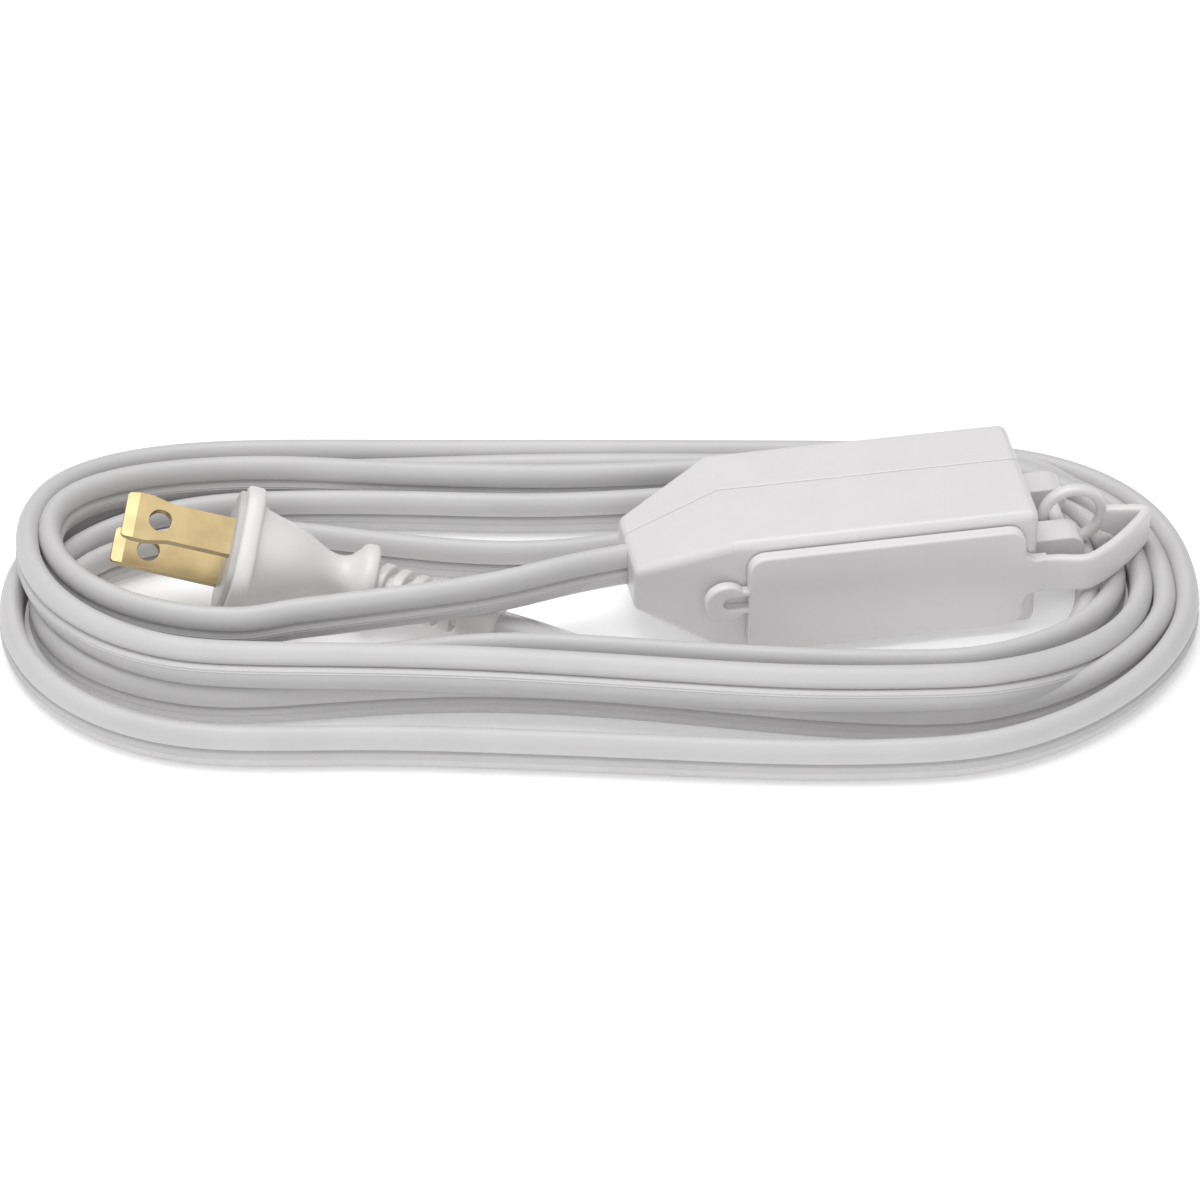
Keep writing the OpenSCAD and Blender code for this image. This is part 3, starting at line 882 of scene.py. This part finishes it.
def new_group(name, inputs, outputs):
    """Empty shader group with float inputs (name, value) and outputs (name, kind)."""
    tree = bpy.data.node_groups.new(name, "ShaderNodeTree")
    for label, value in inputs:
        socket = tree.interface.new_socket(label, in_out="INPUT", socket_type="NodeSocketFloat")
        socket.default_value = value
    for label, kind in outputs:
        tree.interface.new_socket(label, in_out="OUTPUT", socket_type=kind)
    return tree, tree.nodes.new("NodeGroupInput"), tree.nodes.new("NodeGroupOutput")


def noise(tree, vector, scale, detail=3, rough=0.5):
    """Noise mask from 0 to 1."""
    node = tree.nodes.new("ShaderNodeTexNoise")
    node.inputs["Detail"].default_value = detail
    node.inputs["Roughness"].default_value = rough
    if isinstance(scale, (int, float)):
        node.inputs["Scale"].default_value = scale
    else:
        tree.links.new(scale, node.inputs["Scale"])
    tree.links.new(vector, node.inputs["Vector"])
    return node.outputs["Fac"]


def maths(tree, operation, a, b=None, clamp=False):
    """One sum of two sockets or numbers."""
    node = tree.nodes.new("ShaderNodeMath")
    node.operation = operation
    node.use_clamp = clamp
    for socket, value in zip(node.inputs, (a, b)):
        if value is None:
            continue
        if isinstance(value, (int, float)):
            socket.default_value = value
        else:
            tree.links.new(value, socket)
    return node.outputs[0]


def build_vinyl_group():
    """Moulded vinyl: soft mottling, fine texture, faint scuffs."""
    tree, inside, outside = new_group(
        "moulded_vinyl",
        [("Mottle Scale", 90), ("Grain Scale", 2600), ("Scuff", 0.5)],
        [("Tint", "NodeSocketFloat"), ("Gloss", "NodeSocketFloat"), ("Grain", "NodeSocketFloat")],
    )
    spot = tree.nodes.new("ShaderNodeTexCoord").outputs["Object"]
    mottle = noise(tree, spot, inside.outputs["Mottle Scale"], 4)
    grain = noise(tree, spot, inside.outputs["Grain Scale"], 2)
    scuffs = noise(tree, spot, 420, 6, 0.7)
    scuff_mask = maths(tree, "MULTIPLY", maths(tree, "SUBTRACT", scuffs, 0.58, True), 3.0, True)
    scuff_mask = maths(tree, "MULTIPLY", scuff_mask, inside.outputs["Scuff"])
    tint = maths(tree, "SUBTRACT", mottle, maths(tree, "MULTIPLY", scuff_mask, 0.35))
    tree.links.new(tint, outside.inputs["Tint"])
    gloss = maths(tree, "ADD", maths(tree, "MULTIPLY", mottle, 0.6), scuff_mask)
    tree.links.new(gloss, outside.inputs["Gloss"])
    tree.links.new(grain, outside.inputs["Grain"])
    return tree


def build_metal_group():
    """Rolled sheet metal: drawn lines along local X and tarnish clouds."""
    tree, inside, outside = new_group(
        "rolled_metal",
        [("Tarnish", 0.4), ("Line Scale", 900)],
        [("Tarnish", "NodeSocketFloat"), ("Gloss", "NodeSocketFloat"), ("Lines", "NodeSocketFloat")],
    )
    spot = tree.nodes.new("ShaderNodeTexCoord").outputs["Object"]
    turn = tree.nodes.new("ShaderNodeMapping")
    turn.vector_type = "TEXTURE"
    turn.inputs["Location"].default_value = PLUG.to_translation()
    turn.inputs["Rotation"].default_value = PLUG.to_euler()
    tree.links.new(spot, turn.inputs["Vector"])
    stretch = tree.nodes.new("ShaderNodeMapping")
    stretch.inputs["Scale"].default_value = (0.04, 1, 1)
    tree.links.new(turn.outputs["Vector"], stretch.inputs["Vector"])
    lines = noise(tree, stretch.outputs["Vector"], inside.outputs["Line Scale"], 4, 0.6)
    clouds = noise(tree, spot, 260, 5, 0.6)
    mask = maths(tree, "MULTIPLY", maths(tree, "SUBTRACT", clouds, 0.42, True), 2.6, True)
    tarnish = maths(tree, "MULTIPLY", mask, inside.outputs["Tarnish"])
    tree.links.new(tarnish, outside.inputs["Tarnish"])
    gloss = maths(tree, "ADD", maths(tree, "MULTIPLY", lines, 0.5), tarnish)
    tree.links.new(gloss, outside.inputs["Gloss"])
    tree.links.new(lines, outside.inputs["Lines"])
    return tree


VINYL = build_vinyl_group()
METAL = build_metal_group()


def ramp(tree, value, low, high):
    """Colour between two tones by a mask."""
    node = tree.nodes.new("ShaderNodeMix")
    node.data_type = "RGBA"
    node.inputs["A"].default_value = (*low, 1)
    node.inputs["B"].default_value = (*high, 1)
    tree.links.new(value, node.inputs["Factor"])
    return node.outputs["Result"]


def between(tree, value, low, high):
    """Stretches a mask to run from low to high."""
    node = tree.nodes.new("ShaderNodeMapRange")
    node.inputs["To Min"].default_value = low
    node.inputs["To Max"].default_value = high
    tree.links.new(value, node.inputs["Value"])
    return node.outputs["Result"]


def bump(tree, height, strength, distance, normal=None):
    """Normal raised by a height mask, on top of another normal if there is one."""
    node = tree.nodes.new("ShaderNodeBump")
    node.inputs["Strength"].default_value = strength
    node.inputs["Distance"].default_value = distance
    tree.links.new(height, node.inputs["Height"])
    if normal:
        tree.links.new(normal, node.inputs["Normal"])
    return node.outputs["Normal"]


def start_material(name, group, values):
    """Material with its Principled shader and one placed shader group."""
    material = bpy.data.materials.new(name)
    material.use_nodes = True
    tree = material.node_tree
    shader = tree.nodes["Principled BSDF"]
    node = tree.nodes.new("ShaderNodeGroup")
    node.node_tree = group
    for label, value in values.items():
        node.inputs[label].default_value = value
    return material, tree, shader, node


def vinyl(name, low, high, gloss=(0.34, 0.46), subsurface=0.06, grain=0.12, scuff=0.4, mottle=90):
    """Satin vinyl or plastic: two close tones, a gloss range and a fine texture."""
    values = {"Mottle Scale": mottle, "Scuff": scuff}
    material, tree, shader, node = start_material(name, VINYL, values)
    tree.links.new(ramp(tree, node.outputs["Tint"], low, high), shader.inputs["Base Color"])
    tree.links.new(between(tree, node.outputs["Gloss"], *gloss), shader.inputs["Roughness"])
    normal = bump(tree, node.outputs["Grain"], grain, 0.00005)
    tree.links.new(normal, shader.inputs["Normal"])
    shader.inputs["Subsurface Weight"].default_value = subsurface
    shader.inputs["Subsurface Radius"].default_value = (1, 0.9, 0.8)
    shader.inputs["Subsurface Scale"].default_value = 0.0015
    shader.inputs["IOR"].default_value = 1.5
    return material


def metal(name, clean, dull, gloss, tarnish):
    """Drawn sheet metal or wire with light tarnish."""
    material, tree, shader, node = start_material(name, METAL, {"Tarnish": tarnish})
    tree.links.new(ramp(tree, node.outputs["Tarnish"], clean, dull), shader.inputs["Base Color"])
    tree.links.new(between(tree, node.outputs["Gloss"], *gloss), shader.inputs["Roughness"])
    tree.links.new(bump(tree, node.outputs["Lines"], 0.15, 0.00004), shader.inputs["Normal"])
    shader.inputs["Metallic"].default_value = 1
    return material


MATERIALS = {
    "tap_white": vinyl("tap_vinyl", (0.71, 0.695, 0.70), (0.765, 0.75, 0.755), (0.3, 0.42)),
    "cover_white": vinyl("cover_plastic", (0.73, 0.715, 0.715), (0.78, 0.765, 0.765), (0.32, 0.44)),
    "plug_white": vinyl("plug_vinyl", (0.74, 0.725, 0.715), (0.79, 0.77, 0.76), (0.33, 0.45)),
    "cord_white": vinyl("cord_vinyl", (0.57, 0.56, 0.563), (0.64, 0.63, 0.633), (0.42, 0.54), 0),
    "insulator": vinyl("core_plastic", (0.62, 0.61, 0.58), (0.7, 0.69, 0.66), (0.5, 0.62), 0),
    "face_plate": vinyl("wafer_plastic", (0.50, 0.50, 0.49), (0.58, 0.575, 0.56), (0.28, 0.4), 0.2),
    "brass": metal("rolled_brass", (0.44, 0.345, 0.185), (0.30, 0.22, 0.11), (0.3, 0.42), 0.5),
    "copper": metal("bare_copper", (0.78, 0.43, 0.28), (0.5, 0.26, 0.16), (0.25, 0.45), 0.5),
}


def wear(piece, slot):
    """Gives every face of a piece the finish of its slot."""
    if not piece.data.materials:
        piece.data.materials.append(MATERIALS[slot])
    for place in piece.material_slots:
        place.link = "OBJECT"
        place.material = MATERIALS[slot]


for piece in (tap_front, tap_rear):
    wear(piece, "tap_white")
for piece in (cover_plate, cover_tab, strap):
    wear(piece, "cover_white")
wear(cord, "cord_white")
for piece, slot in zip(plug_pieces, ("plug_white", "face_plate", "brass", "brass", "plug_white")):
    wear(piece, slot)
for part in frame["record"]["subparts"]:
    wear(bpy.data.objects[part["node"]], part["material_slot"])

# ---------------------------------------------------------------- floor and light


def build_floor():
    """Pale seamless ground with a faint tone change."""
    bm = bmesh.new()
    bmesh.ops.create_grid(bm, x_segments=8, y_segments=8, size=3)
    mesh = bpy.data.meshes.new("ground")
    bm.to_mesh(mesh)
    bm.free()
    ground = bpy.data.objects.new("ground", mesh)
    bpy.context.collection.objects.link(ground)
    material = vinyl("ground_paper", (0.93, 0.93, 0.93), (0.95, 0.95, 0.95), (0.8, 0.9), 0, 0, 0, 3)
    shader = material.node_tree.nodes["Principled BSDF"]
    shader.inputs["Emission Color"].default_value = (1, 1, 1, 1)
    shader.inputs["Emission Strength"].default_value = 0.2
    mesh.materials.append(material)


def add_light(name, place, size, power, tone=(1, 1, 1)):
    """Square soft box aimed at the object."""
    data = bpy.data.lights.new(name, "AREA")
    data.shape = "SQUARE"
    data.size = size
    data.energy = power
    data.color = tone
    light = bpy.data.objects.new(name, data)
    light.location = COIL @ Vector(place)
    away = light.location - (COIL @ Vector((0, 0, 0)))
    light.rotation_euler = away.to_track_quat("Z", "Y").to_euler()
    bpy.context.collection.objects.link(light)


build_floor()
add_light("overhead_box", (-0.1, 0.1, 1.1), 0.9, 8.5)
add_light("left_box", (-0.9, -0.3, 0.7), 0.5, 1.2)
add_light("front_fill", (0.1, -1.1, 0.6), 0.8, 3.4)
world = bpy.data.worlds.new("studio")
world.use_nodes = True
world.node_tree.nodes["Background"].inputs["Color"].default_value = (1, 1, 1, 1)
world.node_tree.nodes["Background"].inputs["Strength"].default_value = 0.36
bpy.context.scene.world = world
bpy.context.scene.view_settings.view_transform = "Standard"
